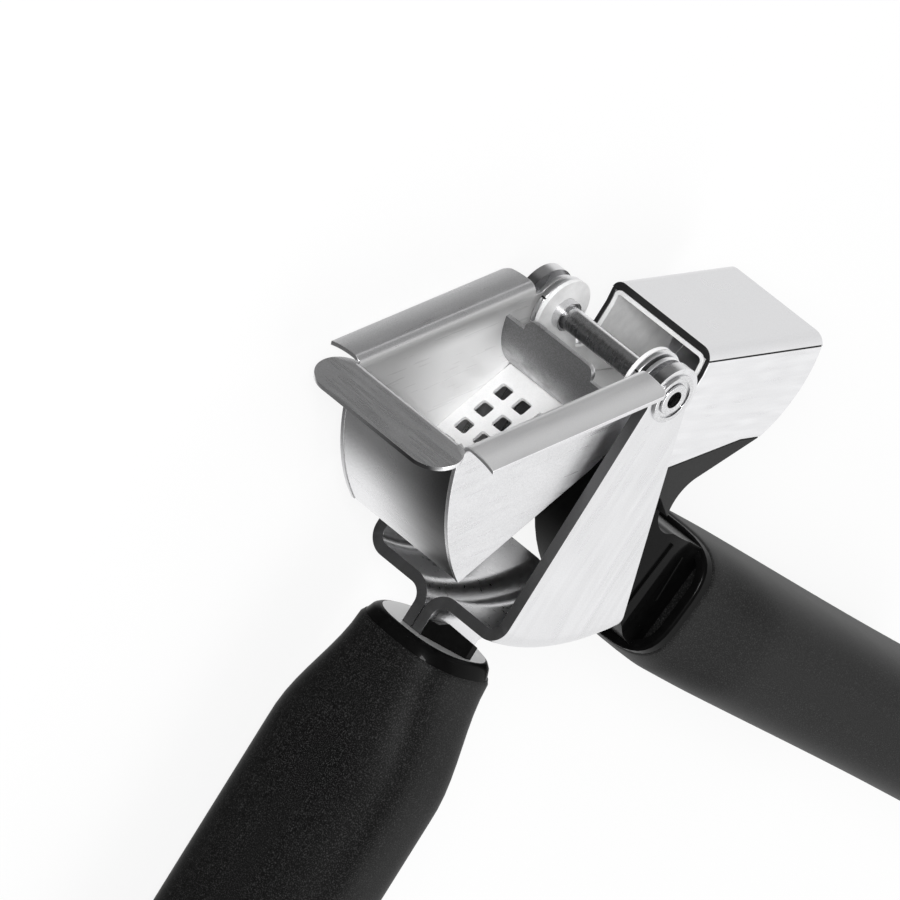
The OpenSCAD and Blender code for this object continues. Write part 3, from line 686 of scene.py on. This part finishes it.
def tip(u, reach):
    """The rounding of a handle's tip, as a share of its full section."""
    past = (u - (reach - TIP_LENGTH)) / TIP_LENGTH
    return 1.0 if past < 0 else math.sqrt(max(TIP_END_SHARE ** 2, 1 - past ** 2))


def grip_steps(start, reach):
    """Distances from the hinge at which a grip's cross-sections are drawn."""
    lip_end, tip_start = start + LIP_RISE, reach - TIP_LENGTH
    run, quarter = tip_start - lip_end, math.pi / 2 / TIP_STEPS
    lip = [start, start + LIP_MIDDLE, lip_end]
    straight = [lip_end + run * i / GRIP_STEPS for i in range(1, GRIP_STEPS + 1)]
    rounded = [reach - TIP_LENGTH * (1 - math.sin(i * quarter)) for i in range(1, TIP_STEPS + 1)]
    return lip + straight + rounded


def grip(start, reach, squareness, section):
    """A grip's skin, in millimetres.

    section gives the half width, the half depth and the centre at a distance behind the grip's front.
    """
    stations = []
    for u in grip_steps(start, reach):
        half_w, half_d, centre = section(u - start)
        end, lip = tip(u, reach), ease(u - start, LIP_RISE, LIP_DEPTH, 0.0)
        stations.append(Station(u, half_w * end - lip, half_d * end - lip, centre, squareness))
    return skin(stations, GRIP_SIDES)


class PRESS_OT_grips(bpy.types.Operator):
    """Mould the two soft grips"""

    bl_idname = "press.grips"
    bl_label = "Soft grips"

    def execute(self, context):
        sizes = context.scene.press_sizes
        rubber = moulded("soft grip rubber", tuple(context.scene.press_colours.grip_black), 0.5, 5000.0,
                         0.00003, specks=0.035)

        def lower(far):
            return ease(far, 24, 11.5, GRIP_HALF_W), ease(far, 20, 11.4, GRIP_HALF_D), sizes.lower_axis

        def upper(far):
            swell = ease(far, 9, 0.0, 0.6)
            half_d = ease(far, 100, GRIP_HALF_D, 11.0) + swell
            return ease(far, 26, 13.4, GRIP_HALF_W), half_d, -sizes.upper_axis - swell

        bm = grip(sizes.lower_start, sizes.reach, LOWER_SQUARENESS, lower)
        piece("lower_grip", bm, FRAME_BODY, rubber, ["lower_handle_grip"])
        bm = grip(sizes.upper_start, sizes.reach, UPPER_SQUARENESS, upper)
        bmesh.ops.transform(bm, matrix=turn_about_hinge(sizes.upper_turn), verts=bm.verts)
        piece("upper_grip", bm, PLUNGER_BODY, rubber, ["upper_handle_grip"])
        return {"FINISHED"}


def ribs(turn):
    """Low ribs on both sides of the neck, where its mould halves are stiffened."""
    bm = bmesh.new()
    for start, end, neck_side in RIBS:
        start, end = Vector((*start, 0)), Vector((*end, 0))
        run = end - start
        lie = Matrix.Rotation(math.atan2(run.y, run.x), 3, "Z")
        for side in (-1, 1):
            bar = bmesh.ops.create_cube(bm, size=1.0)["verts"]
            bmesh.ops.scale(bm, vec=(run.length, RIB_W, 2 * RIB_H), verts=bar)
            bmesh.ops.rotate(bm, matrix=lie, verts=bar)
            bmesh.ops.translate(bm, vec=(start + end) / 2 + Vector((0, 0, side * neck_side)), verts=bar)
    bevel(bm, bm.edges[:], RIB_EDGE, 2)
    bmesh.ops.transform(bm, matrix=turn_about_hinge(turn), verts=bm.verts)
    return bm


class PRESS_OT_mouldings(bpy.types.Operator):
    """Finish the collars, the neck and the plunger's cover in black plastic"""

    bl_idname = "press.mouldings"
    bl_label = "Black mouldings"

    def execute(self, context):
        colours = context.scene.press_colours
        gloss = moulded("glossy nylon", tuple(colours.gloss_black), 0.3, 700.0, 0.000004, coat=0.05,
                        gloss=0.02)
        matt = moulded("matt nylon", tuple(colours.matt_black), 0.5, 3000.0, 0.00001)
        # The lower collar's glossy black end takes a light grey as a painted reflection, and the plug's
        # top inside the plunger's mouth takes a light grey as painted light.
        collar_end_reflection = steel("collar end painted reflection", grey(0.7), 0.4, (300, 300, 300), metallic=0.6)
        plug_top_light = steel("plug top painted light", grey(0.85), 0.45, (300, 300, 300), metallic=0.3)

        lower = finished("lower_handle_core", "lower_core_finished", FRAME_BODY, gloss,
                         0.3, 32)
        outer = [v.co.x for v in lower.data.vertices if abs(v.co.y) > SHANK_CLEAR]
        paint_end_face(lower, collar_end_reflection, Vector((-1, 0, 0)), -min(outer))

        neck = finished("upper_handle_core", "upper_core_finished", PLUNGER_BODY, gloss,
                        0.3, 32)
        paint_end_face(neck, plug_top_light, Vector(heading(PLUNGER_UP)), PLUG_TOP_HEIGHT)
        turn = context.scene.press_sizes.upper_turn
        piece("neck_ribs", ribs(turn), PLUNGER_BODY, gloss)

        finished("plunger_cover", "plunger_cover_finished", PLUNGER_BODY, matt, 0.3)
        return {"FINISHED"}


class PRESS_OT_studio(bpy.types.Operator):
    """Set the floor, the lamps and the camera"""

    bl_idname = "press.studio"
    bl_label = "Studio"

    def execute(self, context):
        studio = context.scene.press_studio
        self.floor(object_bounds()[0][2])
        self.world(context)
        self.lamps(studio)
        self.camera(context, studio)
        context.scene.view_settings.view_transform = "Standard"
        return {"FINISHED"}

    def floor(self, height):
        bm = bmesh.new()
        bmesh.ops.create_grid(bm, x_segments=8, y_segments=8, size=FLOOR_REACH)
        bmesh.ops.translate(bm, vec=(0, 0, height - FLOOR_GAP), verts=bm.verts)
        floor = mesh_object("floor", bm)
        finish = Finish("white paper", Roughness=0.9, Base_Color=(*grey(0.93), 1))
        glow = finish.node("ShaderNodeEmission", None, {"Color": (1, 1, 1, 1), "Strength": 1.0}).node
        mix = finish.tree.nodes.new("ShaderNodeMixShader")
        seen = finish.node("ShaderNodeLightPath").out("Is Camera Ray") * FLOOR_GLOW
        finish.tree.links.new(seen.socket, mix.inputs[0])
        finish.tree.links.new(finish.shader.outputs[0], mix.inputs[1])
        finish.tree.links.new(glow.outputs[0], mix.inputs[2])
        out = finish.tree.nodes["Material Output"]
        finish.tree.links.new(mix.outputs[0], out.inputs["Surface"])
        floor.data.materials.append(finish.material)
        floor.visible_glossy = False
        floor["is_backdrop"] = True

    def world(self, context):
        """White on one side and dim on the other, with a bright band low on the dim side."""
        world = bpy.data.worlds.new("studio air")
        context.scene.world = world
        world.use_nodes = True
        air = Nodes(world.node_tree)
        x, y, z = air.split(air.node("ShaderNodeTexCoord").out("Generated"))
        white_side = along(heading(WHITE_SIDE), (x, y, z)).ramp(0.1, 0.5)
        band = (z.ramp(-0.33, -0.27) - z.ramp(-0.2, -0.14)) * (x * -1.0).ramp(0.85, 0.95)
        horizon = z.ramp(-0.45, -0.1)
        back = world.node_tree.nodes["Background"]
        colour = air.blend(white_side + band * 0.8 + horizon * 0.2, grey(0.15), grey(1.0))
        world.node_tree.links.new(colour.socket, back.inputs["Color"])
        back.inputs["Strength"].default_value = 1.0

    def lamps(self, studio):
        def lamp(name, power, size, place):
            data = bpy.data.lights.new(name, "AREA")
            data.shape = "RECTANGLE"
            data.size = data.size_y = size
            data.energy = power
            obj = scene_object(name, data)
            obj.location = place
            obj.rotation_euler = (LAMP_AIM - Vector(place)).to_track_quat("-Z", "Y").to_euler()

        lamp("key lamp", studio.key_power, 0.7, (0.25, 0.45, 1.1))
        lamp("fill lamp", studio.fill_power, 0.3, (-0.27, -1.0, 0.6))

    def camera(self, context, studio):
        elevation = math.radians(studio.elevation)
        sight = Vector(heading(studio.azimuth)) * math.cos(elevation)
        sight.z = -math.sin(elevation)
        right = sight.cross(Vector((0, 0, 1))).normalized()
        up = right.cross(sight)
        level = Matrix((right, up, -sight)).transposed()
        turned = level @ Matrix.Rotation(math.radians(studio.roll), 3, "Z")
        data = bpy.data.cameras.new("camera")
        data.lens = studio.lens
        data.sensor_width = 36.0
        data.clip_start, data.clip_end = 0.1, 30.0
        camera = scene_object("camera", data)
        stand = Matrix.Translation(CAMERA_TARGET - sight * studio.distance)
        camera.matrix_world = stand @ turned.to_4x4()
        context.scene.camera = camera


class PRESS_PT_panel(bpy.types.Panel):
    """Lists what the press is dressed with"""

    bl_label = "Garlic press"
    bl_idname = "PRESS_PT_panel"
    bl_space_type = "VIEW_3D"
    bl_region_type = "UI"
    bl_category = "Garlic press"

    def draw(self, context):
        for settings in ("press_sizes", "press_colours", "press_studio"):
            group = getattr(context.scene, settings)
            box = self.layout.box()
            for name in group.bl_rna.properties.keys():
                if name not in ("rna_type", "name"):
                    box.prop(group, name)
        for step in STEPS:
            self.layout.operator(step.bl_idname)


STEPS = (PRESS_OT_steel, PRESS_OT_grips, PRESS_OT_mouldings, PRESS_OT_studio)
CLASSES = (PressSizes, PressColours, StudioSettings, *STEPS, PRESS_PT_panel)


def register():
    for cls in CLASSES:
        bpy.utils.register_class(cls)
    bpy.types.Scene.press_sizes = PointerProperty(type=PressSizes)
    bpy.types.Scene.press_colours = PointerProperty(type=PressColours)
    bpy.types.Scene.press_studio = PointerProperty(type=StudioSettings)


def unregister():
    del bpy.types.Scene.press_studio
    del bpy.types.Scene.press_colours
    del bpy.types.Scene.press_sizes
    for cls in reversed(CLASSES):
        bpy.utils.unregister_class(cls)


def main():
    register()
    for step in STEPS:
        group, name = step.bl_idname.split(".")
        if getattr(getattr(bpy.ops, group), name)() != {"FINISHED"}:
            raise RuntimeError(f"{step.bl_label} didn't finish")


if __name__ == "__main__":
    main()
